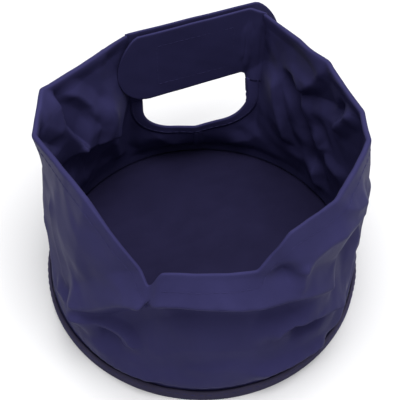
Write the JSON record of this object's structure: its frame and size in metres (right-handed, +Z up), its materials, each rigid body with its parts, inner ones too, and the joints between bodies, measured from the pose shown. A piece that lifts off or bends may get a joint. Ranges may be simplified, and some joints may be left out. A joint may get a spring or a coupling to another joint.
{
  "type": "fabric storage bin",
  "caption": "Collapsible round fabric storage bin with a stiffened base and overlapping hook-and-loop straps at the back that form a carrying handle or close round a rail.",
  "frame": {"origin": "centre of the round underside, on the surface the bin stands on", "axes": "+Z up, +Y towards the handle at the back, +X to the right seen from the front"},
  "size_m": [0.2206, 0.2338, 0.151],
  "materials": {
    "shell_fabric": "coated woven polyester, soft sheen",
    "base_fabric": "coated woven polyester, matte",
    "lining_fabric": "coated woven polyester, soft sheen",
    "binding_tape": "ribbed woven tape, matte",
    "board": "matte",
    "strap_stiffener": "matte",
    "loop_tape": "brushed loop pile, matte",
    "hook_tape": "moulded hooks on woven tape, matte",
    "thread": "twisted polyester, semi-matte"
  },
  "bodies": {
    "bin": {"base_panel": "base_fabric", "base_board": "board", "floor_lining": "lining_fabric", "base_binding": "binding_tape", "base_stitches": "thread", "wall_panel": "shell_fabric", "rim_hem": "shell_fabric", "hem_stitches": "thread", "hole_facing": "shell_fabric", "facing_stitches": "thread", "back_seam_allowance": "shell_fabric", "back_seam_stitches": "thread"},
    "inner_strap": {"inner_strap": "shell_fabric", "inner_strap_stiffener": "strap_stiffener", "loop_patch": "loop_tape", "loop_patch_stitches": "thread"},
    "outer_strap": {"outer_strap": "shell_fabric", "outer_strap_stiffener": "strap_stiffener", "hook_patch": "hook_tape", "hook_patch_stitches": "thread"}
  },
  "joints": [
    {"name": "inner_strap_peel", "type": "hinge", "parent": "bin", "child": "inner_strap", "pos_m": [0.03145, 0.10705, 0.1175], "axis": [0, 0, 1], "range_deg": [0, 100]},
    {"name": "outer_strap_peel", "type": "hinge", "parent": "bin", "child": "outer_strap", "pos_m": [-0.04245, 0.08495, 0.1195], "axis": [0, 0, 1], "range_deg": [0, 120]}
  ]
}
